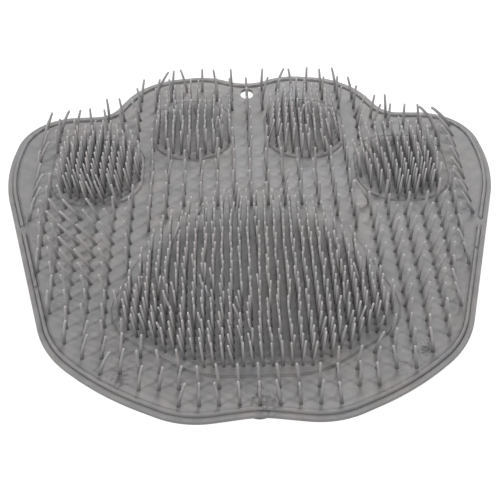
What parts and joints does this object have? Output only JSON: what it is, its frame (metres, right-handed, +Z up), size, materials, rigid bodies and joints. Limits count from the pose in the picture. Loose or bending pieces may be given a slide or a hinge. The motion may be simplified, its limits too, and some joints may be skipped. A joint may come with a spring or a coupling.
{
  "type": "foot massage mat",
  "caption": "Paw-outlined soft rubber foot massage mat with dense bristle pads, sparse bristles between them, a raised rim bead, a hang slot and suction cups below.",
  "frame": {"origin": "on the floor below the middle of the mat's outline", "axes": "+X across the mat to the right as seen from the heel, +Y towards the toes and the hang slot, +Z up"},
  "size_m": [0.3002, 0.2946, 0.0283],
  "materials": {
    "mat_rubber": "satin moulded soft rubber, mid grey"
  },
  "bodies": {
    "root": {"massage_mat": "mat_rubber"}
  },
  "joints": []
}
